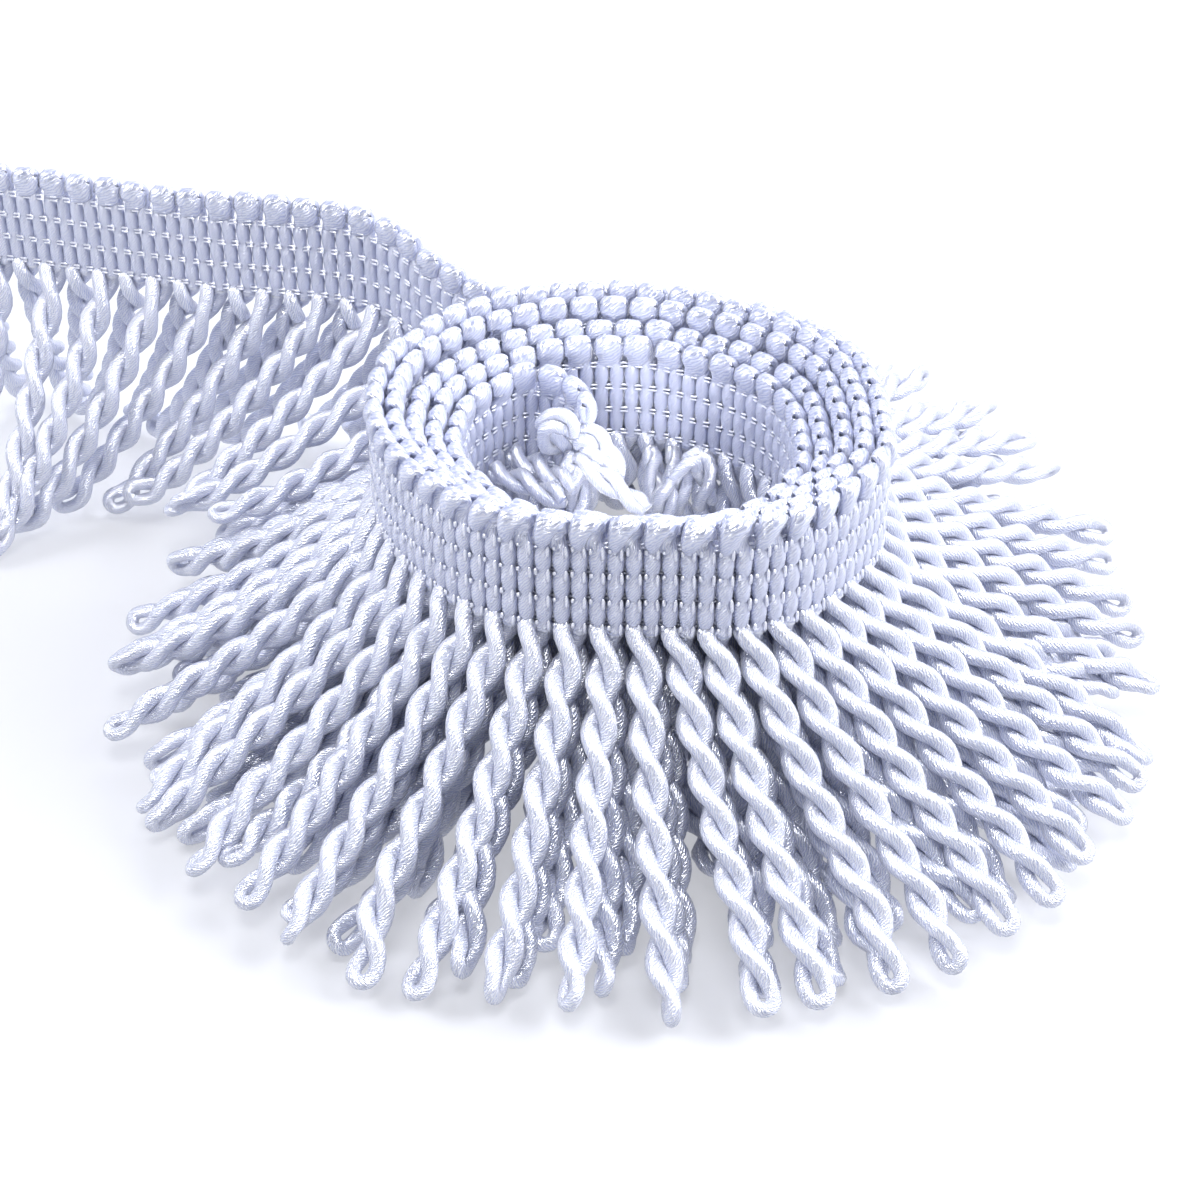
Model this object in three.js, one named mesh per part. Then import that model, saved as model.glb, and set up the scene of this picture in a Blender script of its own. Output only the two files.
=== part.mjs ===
// A twisted fringe trim: a gimp heading 20 mm high with a cord that runs up and down it in ribs,
// loops over its top edge and hangs below it in two-ply twists. A length of it lies rolled up on edge,
// the hanging cords spread around the roll like a skirt, and the free end leads away.
// Millimetres, +Z up, the table at height 0. Built about the axis of the roll, then centred.
import * as THREE from 'three';

// heading
const headingHeight = 20;
const loopPitch = 5.6;
const ribDepth = 2.3;
const grooveDepth = 1.3;
const loopRise = 2;

// roll
const rollRadius = 45.5;
const turnPitch = 3.35;
const turnCount = 4.97;
const leaveAngle = 115;
const inwardShift = 0.2;
const bulgeFade = 0.12;
const knotStep = 15;
const curlTurns = turnCount + 0.01;

// hanging cords
const cordLength = 58;
const cordWidth = 3.7;
const cordDepth = 2;
const toeDepth = 2.6;
const toeLength = 5;
const stripDepth = 2.1;
const stripHeight = 1.5;
const stripGap = 0.3;
const stripInset = 0.2;
const skirtHeight = 38;
const layerDrop = 3.1;
const leaveDip = 2.6;
const restHeight = 3.2;
const sideSlope = 32;
const frontSlope = 36.5;
const bendLength = 6;
const elbowLead = 2;
const slackLength = 3;
const shortToe = 4;
const curlToe = 8;
const followStep = 0.5;
const leanSteps = 4;
const shownQuarters = 6;
const hiddenQuarters = 2;

// parts of a turn over which the cords drop to the next layer, and dip beside the leaving free end
const dropFrom = 0.75;
const dipSpan = 0.3;

// the innermost turn's cords hang almost to the table and run far out on it
const innermostFrom = 4;
const innermostTo = 4.25;
const innermostBend = 9;
const innermostToe = 26;

// how far the roll bulges out of the round, by the angle seen from above
const bulges = [
  { angle: 0, out: -2.4 },
  { angle: 30, out: -1.2 },
  { angle: 60, out: -1.5 },
  { angle: 90, out: 1.0 },
  { angle: 120, out: 2.2 },
  { angle: 150, out: 1.8 },
  { angle: 180, out: -0.6 },
  { angle: 210, out: -1.5 },
  { angle: 240, out: -0.5 },
  { angle: 270, out: -2.1 },
  { angle: 300, out: 2.4 },
  { angle: 330, out: 1.1 },
  { angle: 360, out: -2.4 },
];

// height of the heading's lower edge, by turns inward from where the free end leaves
const turnHeights = [
  { turns: 0, base: 37.2 },
  { turns: 0.4, base: 39.8 },
  { turns: 1, base: 39.4 },
  { turns: 2, base: 37.8 },
  { turns: 3, base: 34.8 },
  { turns: 4, base: 33.1 },
  { turns: 5, base: 31.5 },
];

// degrees that the cords sink less at the back right, by the angle seen from above; it fades from layer to layer
const liftFade = 0.1;
const lifts = [
  { angle: -20, less: 0 },
  { angle: 10, less: 4 },
  { angle: 46, less: 17 },
  { angle: 52, less: 17 },
  { angle: 100, less: 0 },
];

// the inner end curls into the hollow
const innerEnd = [
  { x: -6.6, y: 12.4, base: 30.6 },
  { x: -7.6, y: 18.4, base: 31.0 },
  { x: -11.6, y: 23.2, base: 31.3 },
];

// the free end, from where it leaves the roll
const freeEnd = [
  { x: -24.5, y: 45.4, base: 37.4 },
  { x: -36, y: 52, base: 41.5 },
  { x: -48, y: 60.2, base: 46 },
  { x: -81, y: 65.5, base: 48 },
  { x: -121, y: 73.5, base: 50 },
  { x: -135, y: 76.2, base: 50.5 },
];

// cords of the free end: past the roll they stand like a trestle, every other one forward, the rest back
const trestle = [
  { along: 0, frontTurn: 68, frontRest: 16, backTurn: 12, backRest: 6.4 },
  { along: 12, frontTurn: 68, frontRest: 16, backTurn: 22, backRest: 5.5 },
  { along: 24, frontTurn: 66, frontRest: 18.5, backTurn: 30, backRest: 3.2 },
  { along: 36, frontTurn: 66, frontRest: 15.5, backTurn: 40, backRest: 3.2 },
  { along: 50, frontTurn: 72, frontRest: 10.5, backTurn: 52, backRest: 3.2 },
  { along: 65, frontTurn: 78, frontRest: 3.2, backTurn: 54, backRest: 3.2 },
  { along: 80, frontTurn: 78, frontRest: 3.2, backTurn: 46, backRest: 3.2 },
  { along: 95, frontTurn: 52, frontRest: 3.2, backTurn: 34, backRest: 3.2 },
  { along: 120, frontTurn: 18, frontRest: 3.2, backTurn: 10, backRest: 3.2 },
];
const trestleStart = 24;

const radians = THREE.MathUtils.degToRad;
const smooth = (value, low, high) => THREE.MathUtils.smoothstep(value, low, high);

// Straight-line reading of a table, or a rounded one between its rows.
function read(table, column, key, at, rounded = false) {
  const last = table.length - 1;
  let row = 0;
  while (row < last - 1 && at > table[row + 1][key]) row += 1;
  const from = table[row];
  const to = table[row + 1];
  let share = THREE.MathUtils.clamp((at - from[key]) / (to[key] - from[key]), 0, 1);
  if (rounded) share = smooth(share, 0, 1);
  return from[column] + (to[column] - from[column]) * share;
}

// The line of the heading's lower edge, from the curled inner end out to the free end.
function trimLine() {
  const knots = [];
  const addKnot = (x, y, base, turns) => knots.push({ point: new THREE.Vector3(x, y, base), turns });
  innerEnd.forEach((k) => addKnot(k.x, k.y, k.base, curlTurns));
  const steps = Math.floor((turnCount * 360) / knotStep);
  for (let i = 0; i < steps; i += 1) {
    const turns = turnCount - (i * knotStep) / 360;
    const angle = leaveAngle - turns * 360;
    const wrapped = THREE.MathUtils.euclideanModulo(angle, 360);
    const fade = 1 - bulgeFade * Math.max(0, turns - 1);
    const radius = rollRadius - turnPitch * turns + read(bulges, 'out', 'angle', wrapped, true) * fade;
    const x = radius * Math.cos(radians(angle));
    const y = radius * Math.sin(radians(angle)) + inwardShift * turns;
    addKnot(x, y, read(turnHeights, 'base', 'turns', turns, true), turns);
  }
  const leave = knots.length - 1;
  freeEnd.forEach((k) => addKnot(k.x, k.y, k.base, 0));
  const curve = new THREE.CatmullRomCurve3(knots.map((k) => k.point));
  curve.arcLengthDivisions = 6000;
  const length = curve.getLength();
  const count = Math.round(length / loopPitch);
  const pitch = length / count;
  return { curve, knots, leave, length, count, pitch };
}

const line = trimLine();

// A place on the line: the point, the way along it, the way out of the roll, and its turn of the winding.
function place(distance) {
  const share = THREE.MathUtils.clamp(distance / line.length, 0, 1);
  const at = line.curve.getUtoTmapping(share);
  const point = line.curve.getPoint(at);
  const along = line.curve.getTangent(at).setZ(0).normalize();
  const out = new THREE.Vector3(along.y, -along.x, 0);
  const knot = at * (line.knots.length - 1);
  const low = Math.min(Math.floor(knot), line.knots.length - 2);
  const from = line.knots[low].turns;
  const turns = from + (line.knots[low + 1].turns - from) * (knot - low);
  return { point, along, out, turns, onFreeEnd: knot > line.leave };
}

// A closed skin of four-cornered rings.
class Skin {
  constructor() {
    this.points = [];
    this.faces = [];
  }

  ring(corners) {
    corners.forEach((c) => this.points.push(c.x, c.y, c.z));
    const first = this.points.length / 3 - corners.length;
    return corners.map((c, i) => first + i);
  }

  quad(a, b, c, d) {
    this.faces.push(a, d, b, b, d, c);
  }

  wall(from, to, sides) {
    sides.forEach((i) => {
      const j = (i + 1) % 4;
      this.quad(from[i], from[j], to[j], to[i]);
    });
  }

  mesh(name, material, centre) {
    const geometry = new THREE.BufferGeometry();
    geometry.setAttribute('position', new THREE.Float32BufferAttribute(this.points, 3));
    geometry.setIndex(this.faces);
    geometry.translate(-centre.x, -centre.y, 0);
    geometry.computeVertexNormals();
    const mesh = new THREE.Mesh(geometry, material);
    mesh.name = name;
    return mesh;
  }
}

// Corners of an upright slice across the line, from height low to height high above the lower edge.
function slice(distance, depth, low, high) {
  const { point, out } = place(distance);
  const half = out.clone().multiplyScalar(depth / 2);
  const corner = (side, height) => point.clone().addScaledVector(half, side).setZ(point.z + height);
  return [corner(-1, low), corner(1, low), corner(1, high), corner(-1, high)];
}

// The heading: each loop of the cord is raised in its faces and its top edge.
function headingSkin() {
  const skin = new Skin();
  const outline = [
    { depth: grooveDepth, high: headingHeight - loopRise },
    { depth: ribDepth, high: headingHeight },
  ];
  const steps = line.count * outline.length;
  let before = null;
  for (let i = 0; i <= steps; i += 1) {
    const { depth, high } = outline[i % outline.length];
    const ring = skin.ring(slice((i * line.pitch) / outline.length, depth, 0, high));
    if (before) skin.wall(before, ring, [0, 1, 2, 3]);
    else skin.quad(ring[3], ring[2], ring[1], ring[0]);
    before = ring;
  }
  skin.quad(before[0], before[1], before[2], before[3]);
  return skin;
}

// How one cord of the roll lies: it hangs to its own layer's height, then slopes out to the table.
function rolledLay(at, root) {
  const whole = Math.floor(at.turns);
  const part = at.turns - whole;
  const layer = whole + smooth(part, dropFrom, 1);
  const nearLeave = smooth(1 - Math.min(part, 1 - part) / dipSpan, 0, 1);
  const inEnd = at.turns > turnCount;
  const way = inEnd ? at.out : root.clone().setZ(0).normalize();
  const less = read(lifts, 'less', 'angle', THREE.MathUtils.radToDeg(Math.atan2(way.y, way.x)));
  const slope = THREE.MathUtils.lerp(sideSlope, frontSlope, Math.max(0, -way.y)) - less * (1 - liftFade * layer);
  const outer = skirtHeight - layerDrop * layer - leaveDip * nearLeave;
  const innermost = smooth(at.turns, innermostFrom, innermostTo);
  const bend = THREE.MathUtils.lerp(Math.min(outer, root.z), innermostBend, innermost);
  const toe = inEnd ? curlToe : THREE.MathUtils.lerp(shortToe, innermostToe, innermost);
  return { way, slope: radians(slope), hang: root.z - bend, rest: restHeight, toe };
}

// How one cord of the free end lies: straight down its slope, forward or back.
function freeLay(root, index, along) {
  const forward = along > trestleStart && index % 2 === 0;
  const turn = radians(read(trestle, forward ? 'frontTurn' : 'backTurn', 'along', along));
  const rest = read(trestle, forward ? 'frontRest' : 'backRest', 'along', along);
  const way = new THREE.Vector3(-Math.sin(turn), forward ? -Math.cos(turn) : Math.cos(turn), 0);
  const slope = Math.asin((root.z - rest) / (cordLength - slackLength));
  return { way, slope, hang: 0, rest, toe: shortToe };
}

// Follow a cord down from its root: its angle below level goes from upright to its slope, and it stops
// sinking at its rest height.
function follow(root, lay) {
  const path = [];
  let out = 0;
  let height = root.z;
  let landed = 0;
  for (let gone = 0; gone <= cordLength && landed <= lay.toe; gone += followStep) {
    path.push({ out, height: Math.max(height, lay.rest), landed: height <= lay.rest });
    const bent = smooth(gone - lay.hang, -bendLength / 2, bendLength / 2);
    const angle = THREE.MathUtils.lerp(Math.PI / 2, lay.slope, bent);
    const onRest = height <= lay.rest;
    out += followStep * (onRest ? 1 : Math.cos(angle));
    height -= onRest ? 0 : followStep * Math.sin(angle);
    if (onRest) landed += followStep;
  }
  return path;
}

// Hang one cord from four corners of the strip: straight to its bend, then a quarter turn to each step,
// then a level toe.
function hangCord(skin, corners, root, lay, quarterTurns) {
  const path = follow(root, lay);
  const reach = path.length - 1;
  const landing = path.findIndex((spot) => spot.landed);
  const onTable = landing >= 0 && reach - landing >= leanSteps && lay.rest <= restHeight;
  const bend = Math.round((lay.hang + elbowLead) / followStep);
  const toe = Math.max(reach - Math.round(toeLength / followStep), onTable ? landing + 1 : 0);
  const side = new THREE.Vector3(-lay.way.y, lay.way.x, 0);
  let before = corners;
  for (let i = 0; i <= quarterTurns + 1; i += 1) {
    const level = onTable && i >= quarterTurns;
    const mark = i > quarterTurns ? reach : Math.round(THREE.MathUtils.lerp(bend, toe, i / quarterTurns));
    const spot = path[mark];
    const back = path[Math.max(0, mark - leanSteps)];
    const fore = path[Math.min(reach, mark + leanSteps)];
    const fall = level ? 0 : Math.atan2(back.height - fore.height, fore.out - back.out);
    const up = lay.way.clone().multiplyScalar(Math.sin(fall)).setZ(Math.cos(fall));
    const turn = -Math.min(i, quarterTurns) * (Math.PI / 2);
    const wide = side.clone().multiplyScalar(Math.cos(turn)).addScaledVector(up, Math.sin(turn));
    const thin = side.clone().multiplyScalar(-Math.sin(turn)).addScaledVector(up, Math.cos(turn));
    const height = level ? toeDepth / 2 : spot.height;
    const centre = root.clone().addScaledVector(lay.way, spot.out).setZ(height);
    wide.multiplyScalar(cordWidth / 2);
    thin.multiplyScalar((level ? toeDepth : cordDepth) / 2);
    const corner = (w, t) => centre.clone().addScaledVector(wide, w).addScaledVector(thin, t);
    const ring = skin.ring([corner(-1, -1), corner(-1, 1), corner(1, 1), corner(1, -1)]);
    skin.wall(before, ring, [0, 1, 2, 3]);
    before = ring;
  }
  skin.quad(before[0], before[1], before[2], before[3]);
}

// The cords of one turn, their roots fused into a narrow strip just under the heading.
function fringeSkin(indexes, quarterTurns) {
  const skin = new Skin();
  const first = indexes[0];
  const last = indexes[indexes.length - 1];
  let before = null;
  indexes.concat(last + 1).forEach((index) => {
    let edge = (index - 0.5) * line.pitch;
    if (index === first) edge += stripInset;
    if (index > last) edge -= stripInset;
    const ring = skin.ring(slice(edge, stripDepth, -stripGap - stripHeight, -stripGap));
    if (before) {
      skin.wall(before, ring, [1, 2, 3]);
      const at = place((index - 1) * line.pitch);
      const root = at.point.clone().setZ(at.point.z - stripGap - stripHeight);
      const along = (index - 1) * line.pitch - leaveDistance;
      const lay = at.onFreeEnd ? freeLay(root, index, along) : rolledLay(at, root);
      hangCord(skin, [before[0], before[1], ring[1], ring[0]], root, lay, quarterTurns);
    } else {
      skin.quad(ring[3], ring[2], ring[1], ring[0]);
    }
    before = ring;
  });
  skin.quad(before[0], before[1], before[2], before[3]);
  return skin;
}

// distance along the line at which the free end leaves the roll
let leaveDistance = 0;
while (!place(leaveDistance).onFreeEnd) leaveDistance += 0.5;

const groups = new Map();
for (let index = 1; index < line.count; index += 1) {
  const at = place(index * line.pitch);
  const name = at.onFreeEnd ? 'fringe_tail' : `fringe_turn_${Math.min(5, Math.floor(at.turns) + 1)}`;
  if (!groups.has(name)) groups.set(name, []);
  groups.get(name).push(index);
}

const satinWhite = 0xf1f2fa;
const satinCloth = (name) => new THREE.MeshStandardMaterial({ name, color: satinWhite, roughness: 0.5 });
const headingCloth = satinCloth('gimp_heading');
const cordCloth = satinCloth('twisted_cord');

const skins = [{ name: 'heading', skin: headingSkin(), material: headingCloth }];
groups.forEach((indexes, name) => {
  const shows = name === 'fringe_turn_1' || name === 'fringe_tail';
  const quarters = shows ? shownQuarters : hiddenQuarters;
  skins.push({ name, skin: fringeSkin(indexes, quarters), material: cordCloth });
});

// the frame's origin is under the middle of the whole
const span = new THREE.Box3();
skins.forEach(({ skin }) => span.union(new THREE.Box3().setFromArray(skin.points)));
const middle = span.getCenter(new THREE.Vector3());

const trim = new THREE.Group();
trim.name = 'twisted_fringe_trim';
skins.forEach(({ name, skin, material }) => trim.add(skin.mesh(name, material, middle)));

export default trim;
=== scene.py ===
# Looks of a rolled twisted fringe trim: the ribbed heading, its stitching, the hanging two-ply cords and the
# loose cords of its inner end.
import math

import bpy
import numpy as np
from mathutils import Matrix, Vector


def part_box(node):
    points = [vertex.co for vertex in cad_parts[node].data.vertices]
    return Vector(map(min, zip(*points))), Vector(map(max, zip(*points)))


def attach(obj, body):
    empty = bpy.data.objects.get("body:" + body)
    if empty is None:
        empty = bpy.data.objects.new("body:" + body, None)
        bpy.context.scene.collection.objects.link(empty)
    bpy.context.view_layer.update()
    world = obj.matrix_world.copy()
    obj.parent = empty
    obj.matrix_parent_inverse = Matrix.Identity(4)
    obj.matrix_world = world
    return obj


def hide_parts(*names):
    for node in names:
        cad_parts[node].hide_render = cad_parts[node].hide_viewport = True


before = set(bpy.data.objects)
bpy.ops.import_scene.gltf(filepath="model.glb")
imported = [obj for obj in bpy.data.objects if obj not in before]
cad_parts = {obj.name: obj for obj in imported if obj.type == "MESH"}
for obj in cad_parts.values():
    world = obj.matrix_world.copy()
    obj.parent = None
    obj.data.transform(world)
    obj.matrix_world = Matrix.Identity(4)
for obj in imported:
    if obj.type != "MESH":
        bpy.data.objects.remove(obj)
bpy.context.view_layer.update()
mm = 0.001

# The roll, in millimetres about its own axis; turns are counted inward from where the free end leaves.
roll = {
    "radius": 45.5,
    "turnPitch": 3.35,
    "turnCount": 4.97,
    "leaveAngle": 115.0,
    "inwardShift": 0.2,     # each turn lies this much further back
    "bulgeFade": 0.12,      # and is this much rounder
    "knotStep": 15.0,       # degrees
    "curlTurns": 4.98,      # stands for the turns of the curled inner end
    "loopPitch": 5.6,
    "ribDepth": 2.3,
    "grooveDepth": 1.3,
    # angle seen from above: how far the roll bulges out of the round
    "bulge": {0: -2.4, 30: -1.2, 60: -1.5, 90: 1.0, 120: 2.2, 150: 1.8, 180: -0.6, 210: -1.5,
              240: -0.5, 270: -2.1, 300: 2.4, 330: 1.1, 360: -2.4},
    # turns: height of the heading's lower edge
    "base": {0: 37.2, 0.4: 39.8, 1: 39.4, 2: 37.8, 3: 34.8, 4: 33.1, 5: 31.5},
    "innerEnd": [(-6.6, 12.4, 30.6), (-7.6, 18.4, 31.0), (-11.6, 23.2, 31.3)],
    "freeEnd": [(-24.5, 45.4, 37.4), (-36, 52, 41.5), (-48, 60.2, 46), (-81, 65.5, 48),
                (-121, 73.5, 50), (-135, 76.2, 50.5)],
}


# 3t^2 - 2t^3 between 0 and 1
def ease(t):
    t = np.clip(t, 0.0, 1.0)
    return t * t * (3 - 2 * t)


# each vector over its length
def unit(vectors):
    return vectors / np.linalg.norm(vectors, axis=-1, keepdims=True)


# reads a table of key: value, with an eased step from each row to the next
def readEased(table, at):
    keys = np.array(list(table), float)
    values = np.array(list(table.values()), float)
    row = np.clip(np.searchsorted(keys, at, side="right") - 1, 0, len(keys) - 2)
    share = ease((at - keys[row]) / (keys[row + 1] - keys[row]))
    return values[row] + (values[row + 1] - values[row]) * share


# A cubic through the knots whose slopes weigh the root of each knot distance; samples points a gap.
def smoothThrough(knots, samples):
    padded = np.vstack([2 * knots[0] - knots[1], knots, 2 * knots[-1] - knots[-2]])
    gap = np.linalg.norm(np.diff(padded[:, :3], axis=0), axis=1, keepdims=True) ** 0.5
    p0, p1, p2, p3 = padded[:-3], padded[1:-2], padded[2:-1], padded[3:]
    g0, g1, g2 = gap[:-2], gap[1:-1], gap[2:]
    slope1 = ((p1 - p0) / g0 - (p2 - p0) / (g0 + g1) + (p2 - p1) / g1) * g1
    slope2 = ((p2 - p1) / g1 - (p3 - p1) / (g1 + g2) + (p3 - p2) / g2) * g1
    t = (np.arange(samples) / samples)[None, :, None]
    square = -3 * p1 + 3 * p2 - 2 * slope1 - slope2
    cube = 2 * p1 - 2 * p2 + slope1 + slope2
    curve = p1[:, None] + slope1[:, None] * t + square[:, None] * t ** 2 + cube[:, None] * t ** 3
    return np.vstack([curve.reshape(-1, knots.shape[1]), knots[-1]])


# The heading's lower edge: knots on a spiral between the curled inner end and the free end, joined by a
# smooth curve and measured along its length.
def trimLine(samples=48):
    steps = np.arange(int(roll["turnCount"] * 360 / roll["knotStep"]))
    turns = roll["turnCount"] - steps * roll["knotStep"] / 360
    angle = roll["leaveAngle"] - turns * 360
    fade = 1 - roll["bulgeFade"] * np.maximum(0, turns - 1)
    radius = roll["radius"] - roll["turnPitch"] * turns + readEased(roll["bulge"], angle % 360) * fade
    x = radius * np.cos(np.radians(angle))
    y = radius * np.sin(np.radians(angle)) + roll["inwardShift"] * turns
    spiral = np.column_stack([x, y, readEased(roll["base"], turns)])
    knots = np.vstack([roll["innerEnd"], spiral, roll["freeEnd"]])
    curl = np.full(len(roll["innerEnd"]), roll["curlTurns"])
    knotTurns = np.concatenate([curl, turns, np.zeros(len(roll["freeEnd"]))])
    points = smoothThrough(knots, samples)
    knot = np.arange(len(points)) / samples
    run = np.concatenate([[0], np.cumsum(np.linalg.norm(np.diff(points, axis=0), axis=1))])
    count = round(run[-1] / roll["loopPitch"])
    return {
        "points": points,
        "ahead": np.gradient(points, run, axis=0),
        "run": run,
        "knot": knot,
        "turns": np.interp(knot, np.arange(len(knots)), knotTurns),
        "leaveKnot": len(roll["innerEnd"]) + len(turns) - 1,
        "count": count,
        "pitch": run[-1] / count,
    }


line = trimLine()


# point on the line, way along it, way out of the roll, turns and whether it is on the free end
def place(distance):
    run = line["run"]
    point = np.stack([np.interp(distance, run, line["points"][:, i]) for i in range(3)], axis=-1)
    ahead = np.stack([np.interp(distance, run, line["ahead"][:, i]) for i in range(2)], axis=-1)
    ahead = unit(ahead)
    level = np.zeros(ahead.shape[:-1] + (1,))
    along = np.concatenate([ahead, level], axis=-1)
    out = np.concatenate([ahead[..., 1:], -ahead[..., :1], level], axis=-1)
    turns = np.interp(distance, run, line["turns"])
    knot = np.interp(distance, run, line["knot"])
    return point, along, out, turns, knot > line["leaveKnot"]


# where the axis of the roll stands in the frame: the heading's box against the same box about the axis
def axisPlace():
    half = np.arange(2 * line["count"] + 1)
    point, _, out, _, _ = place(half * line["pitch"] / 2)
    depth = np.where(half % 2, roll["ribDepth"], roll["grooveDepth"])[:, None]
    corners = np.concatenate([point - out * depth / 2, point + out * depth / 2])
    own = (corners.min(0) + corners.max(0)) / 2
    low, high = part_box("heading")
    return np.array([(low.x + high.x) / 2 / mm - own[0], (low.y + high.y) / 2 / mm - own[1], 0.0])


axis = axisPlace()
print("line:", line["count"], "loops of", round(line["pitch"], 3), "mm, axis at", axis.round(2))


# adds a node with its settings, and sets or links its inputs
def addNode(tree, kind, inputs=None, **settings):
    node = tree.nodes.new(kind)
    for key, value in settings.items():
        setattr(node, key, value)
    for key, value in (inputs or {}).items():
        if isinstance(value, bpy.types.NodeSocket):
            tree.links.new(value, node.inputs[key])
        else:
            node.inputs[key].default_value = value
    return node


# sRGB hex to linear, with alpha
def toLinear(hexColour):
    parts = [int(hexColour[i:i + 2], 16) / 255 for i in (1, 3, 5)]
    return [p / 12.92 if p <= 0.04045 else ((p + 0.055) / 1.055) ** 2.4 for p in parts] + [1.0]


# a material with no nodes yet
def newMaterial(name):
    material = bpy.data.materials.new(name)
    material.use_nodes = True
    material.node_tree.nodes.clear()
    return material


# share of the way round the cord less wrap turns along it, which stays the same along a slanting yarn
def slantOf(tree, spot):
    parts = addNode(tree, "ShaderNodeSeparateXYZ", {0: spot})
    slant = addNode(tree, "ShaderNodeMath", {0: parts.outputs["Y"], 1: parts.outputs["X"]},
                    operation="SUBTRACT")
    return slant.outputs[0]


# height = sine of 2 pi yarns times the slant; as it rises from -1 to the top given, the colour goes from
# painted shade in the groove to lit yarn
def yarnRidges(tree, slant, yarns, top, shade, light):
    angle = addNode(tree, "ShaderNodeMath", {0: slant, 1: yarns * 2 * math.pi}, operation="MULTIPLY")
    ridge = addNode(tree, "ShaderNodeMath", {0: angle.outputs[0]}, operation="SINE").outputs[0]
    share = addNode(tree, "ShaderNodeMapRange", {0: ridge, 1: -1.0, 2: top, 3: 0.0, 4: 1.0})
    tint = addNode(tree, "ShaderNodeMix", {0: share.outputs[0], 6: toLinear(shade), 7: toLinear(light)},
                   data_type="RGBA")
    return ridge, tint.outputs[2]


# Viscose filament wound round a cotton core: satin white, with fine slanting wrap lines that catch the light;
# the grooves between them are painted shade.
satinCord = {
    "fringe": ("#ebeefb", "#b4bee4", 0.0001),    # lit yarn, painted shade in the grooves, depth of the wrap in metres
    "gimp": ("#dde1f4", "#b8c1e6", 0.00005),     # drawn tight, so its wrap lies flatter; its colours are darker as painted shade
    "wraps": 14,            # yarns side by side round the cord, about 0.6 mm each
    "grooveTop": -0.1,      # height of the wrap, from -1 to 1, at which the groove's shade ends
    "waver": 0.16,          # how far noise shifts the yarns, as a share of the way round
    "waverScale": 9.0,
    "waverDetail": 3.0,
    "bump": 0.55,
    "roughness": 0.25,
    "ior": 2.1,             # with full specular, more than real viscose has, for the lustre in the photo
    "specular": 1.0,
    "lustre": 0.05,         # share of the light that the filaments return as a sheet of metal would
    "anisotropy": 0.8,
    "sheen": 1.0,           # loose filament ends lighten the edges
    "sheenRoughness": 0.15,
}


# slanting yarn ridges, wavered by noise, as bump and as colour with painted shade in the grooves; the gloss
# is drawn out along the cord
def satinViscose(name, light, shade, depth):
    material = newMaterial(name)
    tree = material.node_tree
    spot = addNode(tree, "ShaderNodeTexCoord").outputs["UV"]
    noise = addNode(tree, "ShaderNodeTexNoise", {
        "Vector": spot, "Scale": satinCord["waverScale"], "Detail": satinCord["waverDetail"]})
    slant = addNode(tree, "ShaderNodeMath", {
        0: noise.outputs[0], 1: satinCord["waver"], 2: slantOf(tree, spot)}, operation="MULTIPLY_ADD")
    ridge, tint = yarnRidges(tree, slant.outputs[0], satinCord["wraps"], satinCord["grooveTop"], shade, light)
    bump = addNode(tree, "ShaderNodeBump", {
        "Strength": satinCord["bump"], "Distance": depth, "Height": ridge})
    grain = addNode(tree, "ShaderNodeTangent", direction_type="UV_MAP", uv_map="cord")
    skin = addNode(tree, "ShaderNodeBsdfPrincipled", {
        "Base Color": tint, "Normal": bump.outputs[0], "Tangent": grain.outputs[0],
        "Roughness": satinCord["roughness"], "Anisotropic": satinCord["anisotropy"],
        "IOR": satinCord["ior"], "Specular IOR Level": satinCord["specular"],
        "Metallic": satinCord["lustre"], "Sheen Weight": satinCord["sheen"],
        "Sheen Roughness": satinCord["sheenRoughness"]})
    addNode(tree, "ShaderNodeOutputMaterial", {"Surface": skin.outputs[0]})
    return material


# Polyester sewing thread, spun and glazed: whiter and glossier than the cord, with a fine ply slant.
sewingThread = {
    "light": "#fbfcff",
    "shade": "#e9ecfa",
    "plies": 3,
    "roughness": 0.28,
    "ior": 1.55,
    "lustre": 0.4,
}


# slanting plies, as colour only: the grooves between them are painted shade
def glazedPolyesterThread():
    material = newMaterial("glazed_polyester_sewing_thread")
    tree = material.node_tree
    spot = addNode(tree, "ShaderNodeTexCoord").outputs["UV"]
    _, tint = yarnRidges(tree, slantOf(tree, spot), sewingThread["plies"], 1.0,
                         sewingThread["shade"], sewingThread["light"])
    skin = addNode(tree, "ShaderNodeBsdfPrincipled", {
        "Base Color": tint, "Roughness": sewingThread["roughness"], "IOR": sewingThread["ior"],
        "Metallic": sewingThread["lustre"]})
    addNode(tree, "ShaderNodeOutputMaterial", {"Surface": skin.outputs[0]})
    return material


cordFinish = satinViscose("satin_viscose_wound_cord", *satinCord["fringe"])
# the same satin in darker colours for the heading's gimp, as painted shade
gimpSatinWithPaintedShade = satinViscose("satin_viscose_gimp", *satinCord["gimp"])
threadFinish = glazedPolyesterThread()


# Rings round many centre lines at once: centre + outward * cos * first radius + sideways * sin * second.
def ringsRound(centre, outward, radiusOut, radiusSide, sides):
    ahead = unit(np.gradient(centre, axis=-2))
    outward = unit(outward - (outward * ahead).sum(-1, keepdims=True) * ahead)
    sideways = np.cross(ahead, outward)
    turn = 2 * np.pi * np.arange(sides) / sides
    cosine = np.cos(turn)[:, None] * outward[..., None, :] * radiusOut[..., None, None]
    sine = np.sin(turn)[:, None] * sideways[..., None, :] * radiusSide[..., None, None]
    return centre[..., None, :] + cosine + sine


# length gone along each centre line
def runOf(centre):
    steps = np.linalg.norm(np.diff(centre, axis=-2), axis=-1)
    return np.concatenate([np.zeros(steps.shape[:-1] + (1,)), np.cumsum(steps, axis=-1)], axis=-1)


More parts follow.
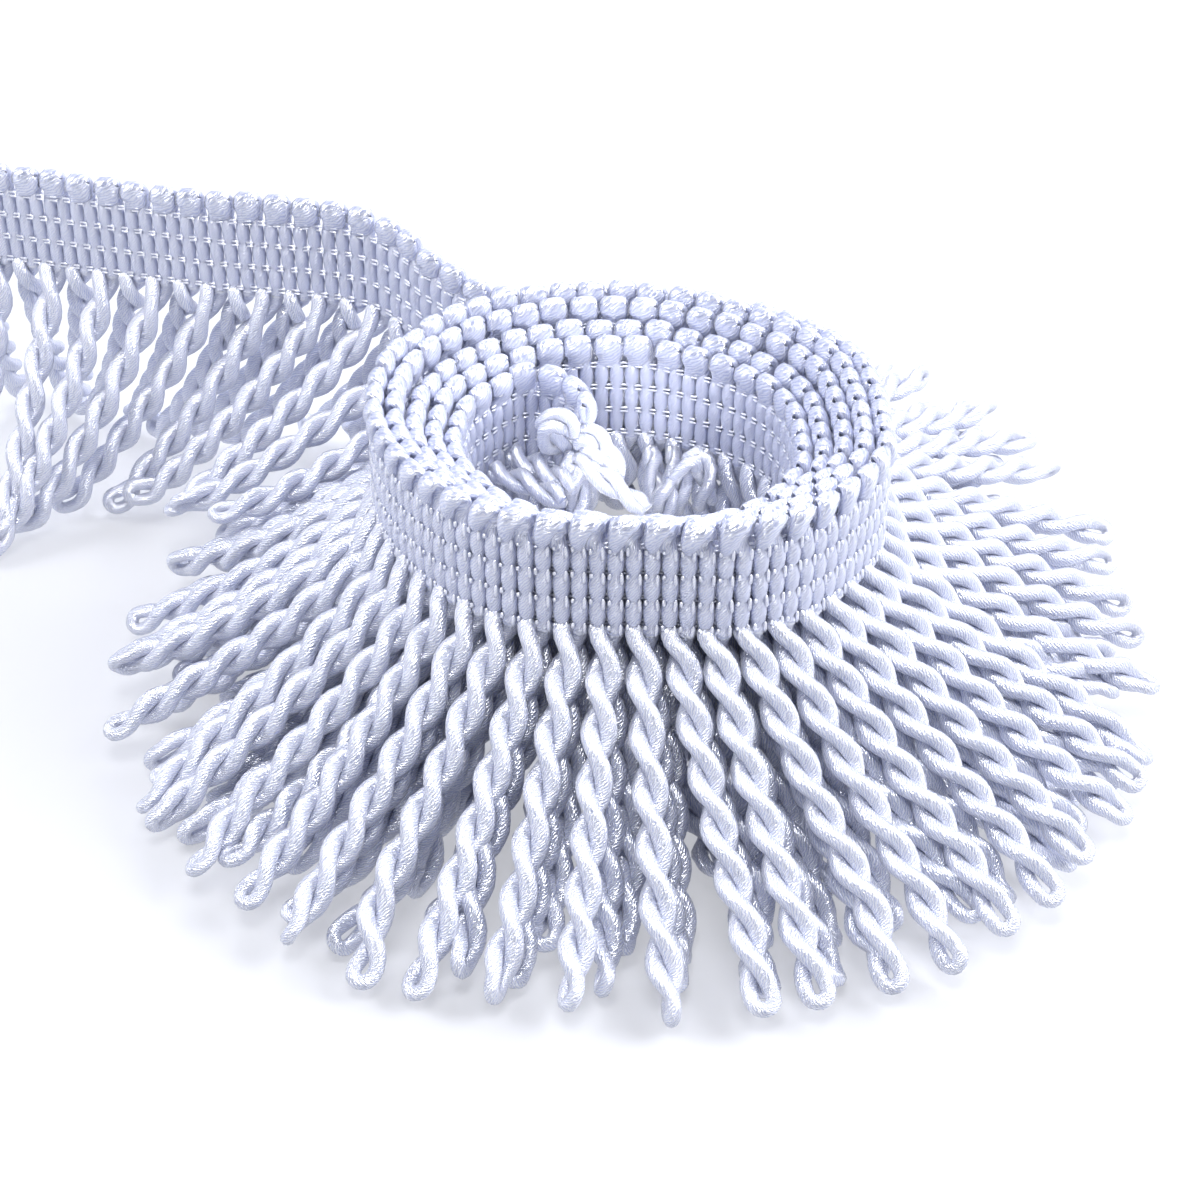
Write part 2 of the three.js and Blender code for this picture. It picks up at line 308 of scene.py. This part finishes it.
# One mesh of many tubes: quads from ring to ring, a flat cap at each end, and a UV map of wrap turns along
# and share of the way round.
def makeTubes(name, rings, wrapTurns, material):
    tubes, count, sides, _ = rings.shape
    index = np.arange(tubes * count * sides).reshape(tubes, count, sides)
    beside = np.roll(index, -1, axis=2)
    quads = np.stack([index[:, :-1], beside[:, :-1], beside[:, 1:], index[:, 1:]], axis=-1)
    caps = np.concatenate([index[:, 0, ::-1], index[:, -1]])
    loops = np.concatenate([quads.ravel(), caps.ravel()])
    totals = np.concatenate([np.full(quads.size // 4, 4), np.full(len(caps), sides)])
    side = np.broadcast_to(np.arange(sides), quads.shape[:-1])
    low = np.broadcast_to(wrapTurns[:, :-1, None], quads.shape[:-1])
    high = np.broadcast_to(wrapTurns[:, 1:, None], quads.shape[:-1])
    u = np.stack([low, low, high, high], axis=-1)
    v = np.stack([side, side + 1, side + 1, side], axis=-1) / sides
    capTurns = np.repeat(np.concatenate([wrapTurns[:, 0], wrapTurns[:, -1]]), sides)
    uv = np.column_stack([np.concatenate([u.ravel(), capTurns]), np.concatenate([v.ravel(), 0 * capTurns])])
    mesh = bpy.data.meshes.new(name)
    mesh.vertices.add(index.size)
    mesh.vertices.foreach_set("co", ((rings + axis) * mm).astype(np.float32).ravel())
    mesh.loops.add(len(loops))
    mesh.loops.foreach_set("vertex_index", loops.astype(np.int32))
    mesh.polygons.add(len(totals))
    mesh.polygons.foreach_set("loop_start", (np.cumsum(totals) - totals).astype(np.int32))
    mesh.polygons.foreach_set("use_smooth", np.ones(len(totals), bool))
    mesh.uv_layers.new(name="cord").data.foreach_set("uv", uv.astype(np.float32).ravel())
    mesh.update(calc_edges=True)
    mesh.materials.append(material)
    piece = bpy.data.objects.new(name, mesh)
    bpy.context.scene.collection.objects.link(piece)
    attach(piece, "root")
    print(name, "-", quads.size // 4 * 2 + len(caps) * (sides - 2), "triangles")
    return piece


# Heading: sizes of the cord that runs up one rib, over the top edge in a loop and down the next rib.
ribs = {
    "rows": [0.6, 5.3, 10.0, 14.5],    # heights of the stitch rows, which pinch the ribs
    "foot": -0.4,
    "radiusAlong": 1.42,
    "radiusOut": 1.32,
    "pinchAlong": 0.4,
    "pinchOut": 0.5,
    "pinchLength": 0.72,
    "ringBeside": 0.8,      # a ring this far above and below each row
    "ringClear": 0.1,       # none nearer than this to the loop
    # the loop from the left rib to the right one: along, height, out, radius along, radius out
    "loop": [(-1.4, 13.7, 0.0, 1.28, 1.18), (-1.4, 14.5, 0.05, 1.02, 0.88), (-1.4, 15.4, 0.5, 1.3, 0.98),
             (-1.25, 16.5, 0.84, 1.5, 1.02), (-0.9, 17.7, 0.9, 1.8, 1.02), (-0.4, 18.66, 0.48, 2.15, 1.02),
             (0.0, 18.98, -0.1, 2.42, 1.02), (0.1, 18.3, -0.62, 2.66, 0.92), (0.1, 17.2, -0.74, 2.76, 0.84),
             (0.15, 16.1, -0.62, 2.65, 0.8), (0.75, 15.1, -0.36, 1.8, 0.8), (1.38, 14.5, -0.05, 1.06, 0.88),
             (1.4, 13.7, 0.0, 1.28, 1.18)],
    "loopSamples": 2,
    # uneven loops: spread in height, along the trim and out of it, and the height over which each sets in
    "lift": 0.18,
    "lean": 0.16,
    "loopOver": 3,
    "sway": 0.12,
    "swayOver": 10,
    "wrapLead": 8.5,
    "sides": 8,
    "seed": 4,
}


# Rib: radius less a bell-shaped pinch at each row. Loop: a smooth curve through its knots, which folds from
# the outer face over the top edge and lies flat on the inner one. The rings keep their width along the trim.
def headingCords():
    rng = np.random.default_rng(ribs["seed"])
    rows = np.array(ribs["rows"])
    beside = ribs["ringBeside"]
    marks = np.concatenate([rows - beside, rows, rows + beside, (rows[1:] + rows[:-1]) / 2])
    marks = np.sort(marks[(marks > ribs["foot"]) & (marks < ribs["loop"][0][1] - ribs["ringClear"])])
    marks = np.concatenate([[ribs["foot"]], marks])
    pinch = np.exp(-(((marks[:, None] - rows) / ribs["pinchLength"]) ** 2)).sum(1)
    quarter = line["pitch"] / 4
    level = np.zeros(len(marks))
    rib = np.column_stack([level - quarter, marks, level, ribs["radiusAlong"] - ribs["pinchAlong"] * pinch,
                           ribs["radiusOut"] - ribs["pinchOut"] * pinch])
    loop = smoothThrough(np.array(ribs["loop"]), ribs["loopSamples"])
    path = np.vstack([rib, loop, rib[::-1] * [-1, 1, 1, 1, 1]])
    along, height, out, radiusAlong, radiusOut = path.T
    count = line["count"]
    onLoop = ease((height - rows[-1]) / ribs["loopOver"])
    lift = rng.normal(0, ribs["lift"], (count, 1)) * onLoop
    lean = rng.normal(0, ribs["lean"], (count, 1)) * onLoop
    sway = rng.normal(0, ribs["sway"], (count, 1)) * ease((height - rows[1]) / ribs["swayOver"])
    middle = (np.arange(count) + 0.5)[:, None] * line["pitch"]
    point, wide, outward, _, _ = place(middle + along + lean)
    centre = point + outward * (out + sway)[..., None]
    centre[..., 2] += height + lift
    shape = centre.shape[:2]
    ahead = unit(np.gradient(centre, axis=1))
    wide = wide - (wide * ahead).sum(-1, keepdims=True) * ahead
    rings = ringsRound(centre, np.cross(wide, ahead), np.broadcast_to(radiusOut, shape),
                       np.broadcast_to(radiusAlong, shape), ribs["sides"])
    return rings, runOf(centre) / ribs["wrapLead"] + rng.random((count, 1))


# the ribs take the gimp satin, whose darker colours are painted shade
heading = makeTubes("heading_ribs", *headingCords(), gimpSatinWithPaintedShade)
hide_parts("heading")

# Stitching: short visible lengths of sewing thread at the rows.
stitches = {
    "radius": 0.3,
    "plyLead": 1.6,
    "sides": 5,
    "ringShare": [0.0, 0.18, 0.82, 1.0],    # how far along a stitch its four rings are
    "ringSwell": [0.45, 1.0, 1.0, 0.45],    # and their share of its radius
    "nibSide": 0.9,
    "nibOut": 0.95,
    "shortNib": (-0.45, 0.45),
    "longNib": (-1.5, 0.6),
    "nibSpread": (0.06, 0.12),      # unevenness along and in height
    "dashOut": -0.86,
    "dashHalf": 0.72,
    "dashGap": 0.36,
    "dashRadius": 0.22,
    "dashSpread": (0.08, 0.06),
    "seed": 9,
}


# A capsule of four rings along the offsets given for its two ends, laid on the line.
def stitchRings(distance, out, height, radius):
    share = np.array(stitches["ringShare"])
    along, deep, tall = [ends[..., :1] + (ends[..., 1:] - ends[..., :1]) * share
                         for ends in (distance, out, height)]
    point, _, outward, _, _ = place(along)
    centre = point + outward * deep[..., None]
    centre[..., 2] += tall
    radii = np.broadcast_to(radius * np.array(stitches["ringSwell"]), centre.shape[:2])
    return ringsRound(centre, outward, radii, radii, stitches["sides"]), runOf(centre) / stitches["plyLead"]


# outer face: a short nib at the left edge of each rib and a longer one at its right edge, at every row
def outerNibs():
    rng = np.random.default_rng(stitches["seed"])
    rib, row, right = np.meshgrid(np.arange(2 * line["count"]), ribs["rows"], [0.0, 1.0], indexing="ij")
    rib, row, right = rib.ravel(), row.ravel(), right.ravel()
    spreadAlong, spreadUp = stitches["nibSpread"]
    edge = (rib + 0.5) * line["pitch"] / 2 + np.where(right > 0, 1, -1) * stitches["nibSide"]
    edge = edge[:, None] + rng.normal(0, spreadAlong, (len(rib), 2))
    ends = np.where(right[:, None] > 0, stitches["longNib"], stitches["shortNib"])
    height = row[:, None] + ends + rng.normal(0, spreadUp, (len(rib), 2))
    out = np.full((len(rib), 2), stitches["nibOut"])
    return stitchRings(edge, out, height, stitches["radius"])


# inner face: a pair of dashes across every groove between two ribs, at every row
def innerDashes():
    rng = np.random.default_rng(stitches["seed"] + 1)
    groove, row, pair = np.meshgrid(np.arange(1, 2 * line["count"]), ribs["rows"], [-1.0, 1.0], indexing="ij")
    groove, row, pair = groove.ravel(), row.ravel(), pair.ravel()
    spreadAlong, spreadUp = stitches["dashSpread"]
    reach = np.array([-1, 1]) * stitches["dashHalf"]
    across = groove[:, None] * line["pitch"] / 2 + reach + rng.normal(0, spreadAlong, (len(groove), 2))
    height = (row + pair * stitches["dashGap"])[:, None] + rng.normal(0, spreadUp, (len(groove), 2))
    out = np.full((len(groove), 2), stitches["dashOut"])
    return stitchRings(across, out, height, stitches["dashRadius"])


outerStitching = makeTubes("outer_stitching", *outerNibs(), threadFinish)
innerStitching = makeTubes("inner_stitching", *innerDashes(), threadFinish)

# Hanging cords: how they lie.
cords = {
    "length": 58.0,
    "lead": 2.2,            # starts this far above the root, inside the foot of its ribs
    "rootDrop": 1.8,
    "skirtHeight": 38.0,
    "layerDrop": 3.1,
    "layerFrom": 0.75,      # part of a turn after which the cords drop to the next layer
    "leaveDip": 2.6,
    "leaveReach": 0.3,      # part of a turn over which they dip beside the leaving free end
    "rest": 3.2,
    "sideSlope": 32.0,
    "frontSlope": 36.5,
    "bend": 6.0,
    "slack": 3.0,
    "shortToe": 4.0,
    "curlToe": 8.0,
    # angle seen from above: degrees that the cords sink less, fading from layer to layer
    "lift": {-20: 0, 10: 4, 46: 17, 52: 17, 100: 0},
    "liftFade": 0.1,
    "sag": 13.0,            # degrees from the start of the slope to the tip
    "innermostFrom": 4,     # turns after which the cords hang down inside, and the part of a turn that takes
    "innermostOver": 0.25,
    "innermostBend": 9.0,
    "innermostToe": 26.0,
    "trestleStart": 24.0,
    "turnNodes": 5,         # one for each turn of the roll; node 0 is the free end
    "step": 0.5,
    "meanSteps": 9,         # of the running mean, which sets in over the length from the root given next
    "meanFrom": 4,
    "meanOver": 4,
}
# free end: along it, turn and rest of the cords that come forward and of those that go back
trestle = {
    "along": [0, 12, 24, 36, 50, 65, 80, 95, 120],
    "frontTurn": [68, 68, 66, 66, 72, 78, 78, 52, 18],
    "frontRest": [16, 16, 18.5, 15.5, 10.5, 3.2, 3.2, 3.2, 3.2],
    "backTurn": [12, 22, 30, 40, 52, 54, 46, 34, 10],
    "backRest": [6.4, 5.5, 3.2, 3.2, 3.2, 3.2, 3.2, 3.2, 3.2],
}


# Way, slope and rest height on the free end: every other cord comes forward and the rest go back, with
# sine of slope = drop from root to rest over length less slack. Where the end leaves is rounded up to a
# half millimetre, as in the CAD.
def freeLays(number, distance, rootHeight):
    leave = np.ceil(line["run"][line["knot"] > line["leaveKnot"]][0] * 2) / 2
    gone = distance - leave
    forward = (gone > cords["trestleStart"]) & (number % 2 == 1)
    frontTurn, frontRest, backTurn, backRest = [
        np.interp(gone, trestle["along"], trestle[column])
        for column in ("frontTurn", "frontRest", "backTurn", "backRest")]
    turn = np.radians(np.where(forward, frontTurn, backTurn))
    rest = np.where(forward, frontRest, backRest)
    way = np.stack([-np.sin(turn), np.where(forward, -1, 1) * np.cos(turn)], axis=-1)
    return way, np.arcsin((rootHeight - rest) / (cords["length"] - cords["slack"])), rest


# Way, slope, length of straight hang, rest height and toe of every cord. In the roll each layer bends out
# below the one outside it, and the innermost cords hang down before they bend.
def cordLays():
    number = np.arange(1, line["count"])
    distance = number * line["pitch"]
    point, along, out, turns, free = place(distance)
    rootHeight = point[:, 2] - cords["rootDrop"]
    whole = np.floor(turns)
    part = turns - whole
    layer = whole + ease((part - cords["layerFrom"]) / (1 - cords["layerFrom"]))
    nearLeave = ease(1 - np.minimum(part, 1 - part) / cords["leaveReach"])
    inEnd = turns > roll["turnCount"]
    way = np.where(inEnd[:, None], out[:, :2], unit(point[:, :2]))
    slope = cords["sideSlope"] + (cords["frontSlope"] - cords["sideSlope"]) * np.maximum(0, -way[:, 1])
    angle = np.degrees(np.arctan2(way[:, 1], way[:, 0]))
    less = np.interp(angle, list(cords["lift"]), list(cords["lift"].values()))
    slope = slope - less * (1 - cords["liftFade"] * layer)
    outer = cords["skirtHeight"] - cords["layerDrop"] * layer - cords["leaveDip"] * nearLeave
    innermost = ease((turns - cords["innermostFrom"]) / cords["innermostOver"])
    bend = np.minimum(outer, rootHeight)
    bend = bend + (cords["innermostBend"] - bend) * innermost
    toe = cords["shortToe"] + (cords["innermostToe"] - cords["shortToe"]) * innermost
    toe = np.where(inEnd, cords["curlToe"], toe)
    freeWay, freeSlope, freeRest = freeLays(number, distance, rootHeight)
    return {
        "node": np.where(free, 0, np.minimum(cords["turnNodes"], whole + 1)).astype(int),
        "root": point,
        "along": along,
        "way": np.where(free[:, None], freeWay, way),
        "slope": np.where(free, freeSlope, np.radians(slope)),
        "hang": np.where(free, 0, rootHeight - bend),
        "rest": np.where(free, freeRest, cords["rest"]),
        "toe": np.where(free, cords["shortToe"], toe),
    }


# Path of every cord: the angle below level eases from upright to its slope and flattens towards the tip; it
# stops sinking at its rest height, runs on level for its toe, and the whole is smoothed by a running mean.
def cordPaths(lays):
    gone = np.arange(0, cords["length"] + cords["lead"] + cords["step"], cords["step"])
    start = lays["root"][:, 2] - cords["rootDrop"] + cords["lead"]
    past = gone - lays["hang"][:, None] - cords["lead"]
    bent = ease(past / cords["bend"] + 0.5)
    share = np.clip(past / (gone[-1] - lays["hang"][:, None] - cords["lead"]), 0, 1)
    slope = lays["slope"][:, None] + np.radians(cords["sag"]) * (0.5 - share)
    fall = np.pi / 2 + (slope - np.pi / 2) * bent
    sink = start[:, None] - np.cumsum(np.sin(fall), axis=1) * cords["step"]
    landed = sink <= lays["rest"][:, None]
    out = np.cumsum(np.where(landed, 1, np.cos(fall)), axis=1) * cords["step"]
    height = np.maximum(sink, lays["rest"][:, None])
    total = (~landed).sum(1) * cords["step"] + lays["toe"]
    total = np.minimum(total, gone[-1])
    window = cords["meanSteps"]
    edge = ((0, 0), (window // 2, window // 2))
    smooth = np.cumsum(np.pad(height, edge, mode="edge"), axis=1)
    smooth = np.concatenate([smooth[:, window - 1:window], smooth[:, window:] - smooth[:, :-window]], axis=1)
    keep = ease((gone - cords["meanFrom"]) / cords["meanOver"])
    height = height + (smooth / window - height) * keep
    return out, height, total


lays = cordLays()
pathOut, pathHeight, pathLength = cordPaths(lays)

# Two-ply twist: lengths in millimetres; each "Over" is the length over which a change sets in.
twist = {
    "lead": 17.0,           # one full turn of the two plies
    "plyOff": 1.45,
    "plyOver": 6,
    "plyRadius": 1.41,
    "plyFlat": 1.06,        # each ply is pressed a little deeper than wide
    "rootRadius": 1.36,
    "rootOver": 4,
    "acrossOver": 10,       # from side by side along the heading to side by side across the cord
    "stopOver": 3,          # the twist comes to rest before the eye
    "eyeOff": 1.62,
    "eyeOver": 4,
    "eyeRise": 1.1,
    "eyeRadius": 1.16,
    "eyeRadiusOver": 5,
    "eyeParts": 8,
    "wrapLead": 5.8,
    # uneven cords: share by which some are shorter, spread of the lead, and of the tips sideways and upwards
    "shorter": 0.05,
    "leadSpread": 0.05,
    "tipSwing": 2.6,
    "swingLimit": 4.5,
    "swingPower": 1.6,
    "tipHook": 1.6,
    "hookFrom": 0.72,
    "hookOver": 0.28,
    "tipLift": 1.3,
    "liftPower": 1.5,
    "floorClear": 0.02,
    "seed": 21,
    "shown": (56, 10),      # rings a ply and sides, for the outermost turn and the free end, and for the rest
    "hidden": (46, 8),
}


# values of each row at its own lengths, read between steps
def readPath(rows, at):
    spot = np.clip(at / cords["step"] - 1, 0, rows.shape[1] - 1.001)
    low = np.floor(spot).astype(int)
    first = np.take_along_axis(rows, low, axis=1)
    return first + (np.take_along_axis(rows, low + 1, axis=1) - first) * (spot - low)


# Centre line of each chosen cord, its length, the length gone and its side: root + way * out + side * swing,
# at its path's height + lift. Swing and lift grow as powers of the share gone, and the tip hooks aside.
def cordCentres(chosen, count, rng):
    n = len(chosen)
    length = (pathLength[chosen] * (1 - twist["shorter"] * rng.random(n)))[:, None]
    gone = length * np.linspace(0, 1, count)
    share = gone / length
    way = np.concatenate([lays["way"][chosen], np.zeros((n, 1))], axis=1)
    side = np.stack([-way[:, 1], way[:, 0], np.zeros(n)], axis=1)
    side = side * np.where((side * lays["along"][chosen]).sum(1) < 0, -1, 1)[:, None]
    swing = np.clip(rng.normal(0, twist["tipSwing"], (n, 1)), -twist["swingLimit"], twist["swingLimit"])
    swing = swing * share ** twist["swingPower"]
    hook = ease((share - twist["hookFrom"]) / twist["hookOver"]) ** 2
    swing = swing + rng.normal(0, twist["tipHook"], (n, 1)) * hook
    raised = np.abs(rng.normal(0, twist["tipLift"], (n, 1))) * share ** twist["liftPower"]
    centre = lays["root"][chosen][:, None] + way[:, None] * readPath(pathOut[chosen], gone)[..., None]
    centre = centre + side[:, None] * swing[..., None]
    centre[..., 2] = readPath(pathHeight[chosen], gone) + raised
    return centre, length, gone, side


# Two plies on opposite sides of the path, turning left-handed with the length gone, and joined at the tip
# by half an ellipse; one tube runs down the first ply, round the eye and back up the second.
def twistedCords(chosen, count, sides):
    rng = np.random.default_rng(twist["seed"] + int(lays["node"][chosen[0]]))
    n = len(chosen)
    centre, length, gone, side = cordCentres(chosen, count, rng)
    along = lays["along"][chosen]

    # from 0 to 1 over the last of the length
    def nearTip(over):
        return ease((gone - length + over) / over)

    ahead = unit(np.gradient(centre, axis=1))
    across = along[:, None] + (side - along)[:, None] * ease(gone / twist["acrossOver"])[..., None]
    upward = unit(np.cross(ahead, across))
    across = np.cross(upward, ahead)
    lead = twist["lead"] * (1 + twist["leadSpread"] * rng.normal(0, 1, (n, 1)))
    rate = 1 - nearTip(twist["stopOver"])
    steps = np.diff(gone, axis=1) * (rate[:, 1:] + rate[:, :-1]) / 2
    turned = np.concatenate([np.zeros((n, 1)), np.cumsum(steps, axis=1)], axis=1) * 2 * np.pi / lead
    toPly = upward * np.sin(turned)[..., None] - across * np.cos(turned)[..., None]
    rootOff = line["pitch"] / 4
    off = rootOff + (twist["plyOff"] - rootOff) * ease(gone / twist["plyOver"])
    off = off + (twist["eyeOff"] - twist["plyOff"]) * nearTip(twist["eyeOver"])
    first = centre + toPly * off[..., None]
    second = centre - toPly * off[..., None]
    inEye = twist["eyeParts"] - 1
    bow = np.pi * np.arange(1, inEye + 1)[:, None] / twist["eyeParts"]
    tipOut = toPly[:, -1:] * np.cos(bow)
    tipOn = ahead[:, -1:] * np.sin(bow)
    eye = centre[:, -1:] + twist["eyeOff"] * (tipOut + tipOn * twist["eyeRise"])
    path = np.concatenate([first, eye, second[:, ::-1]], axis=1)
    outward = np.concatenate([toPly, tipOut + tipOn, -toPly[:, ::-1]], axis=1)
    radius = twist["rootRadius"] + (twist["plyRadius"] - twist["rootRadius"]) * ease(gone / twist["rootOver"])
    radius = radius + (twist["eyeRadius"] - twist["plyRadius"]) * nearTip(twist["eyeRadiusOver"])
    radius = np.concatenate([radius, np.full((n, inEye), twist["eyeRadius"]), radius[:, ::-1]], axis=1)
    rings = ringsRound(path, outward, radius * twist["plyFlat"], radius, sides)
    rings[..., 2] = np.maximum(rings[..., 2], twist["floorClear"])
    return rings, runOf(path) / twist["wrapLead"] + rng.random((n, 1))


# one piece for each fringe node: the free end, then the turns from the outermost inward
def hangCords():
    pieces = []
    nodes = ["fringe_tail"] + ["fringe_turn_" + str(turn) for turn in range(1, cords["turnNodes"] + 1)]
    for layNumber, node in enumerate(nodes):
        chosen = np.flatnonzero(lays["node"] == layNumber)
        count, sides = twist["shown"] if layNumber < 2 else twist["hidden"]
        piece = makeTubes("twisted_cords_" + node, *twistedCords(chosen, count, sides), cordFinish)
        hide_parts(node)
        pieces.append(piece)
    return pieces


hanging = hangCords()

# Inner end: the cords that were cut there have come loose and curl into the eye of the roll.
looseCords = {
    "plyOff": 1.2,
    "plyRadius": 1.22,
    "tipRadius": 0.9,
    "tipOver": 0.12,        # share of the length over which both ends narrow
    "tipDraw": 0.6,         # share by which the plies are drawn together there
    "twistLead": 15,
    "twistFrom": (0.3, -0.8, 0.5),      # the first ply starts square to this way
    "samples": 8,
    "rings": 32,
    "sides": 8,
    "paths": [
        [(-8.0, 15.5, 38.5), (-13.4, 12.8, 42.6), (-14.4, 11.5, 46.1), (-12.6, 11.0, 47.7),
         (-10.3, 10.6, 47.2), (-9.1, 10.4, 44.9)],
        [(-7.8, 14.0, 40.0), (-8.0, 12.0, 43.8), (-5.8, 11.0, 44.6), (-4.4, 10.5, 43.0), (-3.9, 10.0, 41.1)],
        [(-7.4, 13.2, 38.6), (-6.1, 11.0, 42.0), (-3.3, 9.6, 41.5), (-1.7, 8.0, 39.8), (-1.2, 7.0, 37.2)],
        [(-7.2, 12.6, 36.6), (-5.4, 9.0, 40.2), (-2.8, 7.0, 39.2), (-1.9, 6.0, 36.1)],
        [(-8.0, 15.0, 36.0), (-9.4, 10.0, 39.8), (-4.9, 5.7, 39.9), (-0.6, 2.0, 38.7), (3.6, -1.0, 36.6)],
        [(-20.5, 20.5, 35.5), (-14.4, 11.4, 37.6), (-11.4, 7.5, 37.7), (-8.9, 5.0, 36.9)],
        [(-24.0, 16.5, 34.5), (-16.8, 9.0, 36.0), (-13.5, 6.0, 36.1), (-10.7, 3.5, 35.6)],
        [(-7.2, 11.6, 37.5), (-7.9, 8.0, 39.0), (-8.2, 6.4, 34.5), (-8.6, 5.0, 29.0)],
        [(9.0, 27.0, 33.0), (9.3, 18.0, 29.5), (9.6, 11.4, 31.0), (10.4, 10.0, 38.6), (12.2, 10.0, 41.2),
         (13.8, 10.0, 38.8), (14.4, 11.4, 31.0), (15.0, 18.0, 29.0), (15.5, 25.5, 33.0)],
        [(5.0, 27.0, 33.0), (6.0, 18.0, 28.5), (7.0, 10.0, 29.5), (7.3, 8.6, 33.5), (8.2, 9.0, 37.0)],
    ],
}


# Two plies round a smooth curve through each path's points, read at even steps: off the curve by plyOff at
# the angle 2 pi run / twistLead, and drawn together, thinner, at both ends.
def looseEnds():
    step = np.linspace(0, 1, looseCords["rings"])
    curves = [smoothThrough(np.array(path), looseCords["samples"]) for path in looseCords["paths"]]
    shares = [runOf(curve) / runOf(curve)[-1] for curve in curves]
    centre = np.stack([np.column_stack([np.interp(step, share, curve[:, i]) for i in range(3)])
                       for share, curve in zip(shares, curves)])
    run = runOf(centre)
    ahead = unit(np.gradient(centre, axis=1))
    wide = unit(np.cross(ahead, np.array(looseCords["twistFrom"])))
    tip = ease((np.abs(step - 0.5) - (0.5 - looseCords["tipOver"])) / looseCords["tipOver"])
    angle = (2 * math.pi / looseCords["twistLead"] * run)[..., None]
    off = (looseCords["plyOff"] * (1 - looseCords["tipDraw"] * tip))[None, :, None]
    off = off * (np.cos(angle) * wide + np.sin(angle) * np.cross(ahead, wide))
    plies = np.concatenate([centre + off, centre - off])
    outward = np.concatenate([off, -off])
    radius = looseCords["plyRadius"] + (looseCords["tipRadius"] - looseCords["plyRadius"]) * tip
    radius = np.broadcast_to(radius, plies.shape[:2])
    rings = ringsRound(plies, outward, radius, radius, looseCords["sides"])
    return rings, runOf(plies) / twist["wrapLead"]


looseEnd = makeTubes("loose_end_cords", *looseEnds(), cordFinish)

# Stage: a light table, soft boxes round it, a sky and the camera.
stage = {
    "floorSize": 4.0,
    "floorColour": "#babcc2",
    "floorRoughness": 0.9,
    "glowColour": "#ffffff",
    "glow": 0.39,           # the sheet is lit from below as well
    "skyColour": "#d3dcff",
    "skyFront": 0.05,       # the paper sweep behind is lit, the room in front is not
    "skyBack": 0.72,
    "skyRange": (-0.5, 0.8),    # Y of the way looked along, where it starts to brighten and where it stops
    "aim": (0, 0, 0.03),
    "eyeAim": (0.022, 0.04, 0.038),
    "lens": 62.1,
    "nearest": 0.01,
    "target": (-4.38, -19.07, 30.0),
    "distance": 346.12,
    "elevation": 33.6,
}
# soft boxes: place in metres, size in metres, watts, spread in degrees; the gloss boxes are seen only in the
# satin's gloss, and eye is what the real cords let through into the eye of the roll
softBoxes = {
    "left": ((-0.7, 0.05, 0.45), 0.4, 3.9, 180),
    "right": ((0.68, 0.0, 0.45), 0.5, 7.0, 180),
    "above": ((0.0, -0.3, 0.92), 0.4, 2.6, 180),
    "back": ((0.1, 0.75, 0.6), 0.5, 3.0, 180),
    "gloss_above": ((0.0, -0.2, 0.95), 0.4, 16.5, 180),
    "gloss_front": ((-0.3, -1.0, 0.3), 0.2, 3.0, 180),
    "eye": ((0.022, -0.034, 0.05), 0.02, 0.0022, 46),
}


# Matt white acrylic: an even pale sheet that scatters the light under it, so shadows on it stay soft. Its
# glow is met by bounced rays, not sampled as a lamp.
def paleFloor():
    half = stage["floorSize"] / 2
    corners = [(-half, -half, 0), (half, -half, 0), (half, half, 0), (-half, half, 0)]
    mesh = bpy.data.meshes.new("floor")
    mesh.from_pydata(corners, [], [(0, 1, 2, 3)])
    material = bpy.data.materials.new("matt_white_acrylic_sheet")
    material.use_nodes = True
    skin = material.node_tree.nodes["Principled BSDF"]
    skin.inputs["Base Color"].default_value = toLinear(stage["floorColour"])
    skin.inputs["Roughness"].default_value = stage["floorRoughness"]
    skin.inputs["Emission Color"].default_value = toLinear(stage["glowColour"])
    skin.inputs["Emission Strength"].default_value = stage["glow"]
    material.cycles.emission_sampling = "NONE"
    mesh.materials.append(material)
    floor = bpy.data.objects.new("floor", mesh)
    bpy.context.scene.collection.objects.link(floor)


# sky strength eases from front to back by the way's Y; each box faces its aim
def lightStage():
    world = bpy.data.worlds.new("studio")
    bpy.context.scene.world = world
    world.use_nodes = True
    tree = world.node_tree
    around = addNode(tree, "ShaderNodeTexCoord").outputs["Generated"]
    way = addNode(tree, "ShaderNodeSeparateXYZ", {0: around})
    start, end = stage["skyRange"]
    level = addNode(tree, "ShaderNodeMapRange", {0: way.outputs["Y"], 1: start, 2: end, 3: stage["skyFront"],
                                                 4: stage["skyBack"]}, interpolation_type="SMOOTHSTEP")
    sky = tree.nodes["Background"]
    sky.inputs["Color"].default_value = toLinear(stage["skyColour"])
    tree.links.new(level.outputs[0], sky.inputs["Strength"])
    for name, (spot, size, watts, spread) in softBoxes.items():
        lamp = bpy.data.lights.new("soft_box_" + name, "AREA")
        lamp.size = size
        lamp.energy = watts
        lamp.spread = np.radians(spread)
        box = bpy.data.objects.new("soft_box_" + name, lamp)
        box.location = spot
        aim = stage["eyeAim"] if name == "eye" else stage["aim"]
        box.rotation_euler = (Vector(aim) - Vector(spot)).to_track_quat("-Z", "Y").to_euler()
        box.visible_diffuse = not name.startswith("gloss")
        box.visible_glossy = name != "eye"
        box.visible_camera = False
        bpy.context.scene.collection.objects.link(box)


# target, about the roll's axis, + distance along the way back and up by the elevation
def placeCamera():
    target = Vector(stage["target"]) + Vector(axis)
    tilt = math.radians(stage["elevation"])
    back = Vector((0, -math.cos(tilt), math.sin(tilt)))
    lens = bpy.data.cameras.new("camera")
    lens.lens = stage["lens"]
    lens.clip_start = stage["nearest"]
    camera = bpy.data.objects.new("camera", lens)
    camera.location = (target + back * stage["distance"]) * mm
    camera.rotation_euler = (-back).to_track_quat("-Z", "Y").to_euler()
    bpy.context.scene.collection.objects.link(camera)
    bpy.context.scene.camera = camera


paleFloor()
lightStage()
placeCamera()
bpy.context.scene.view_settings.view_transform = "Standard"
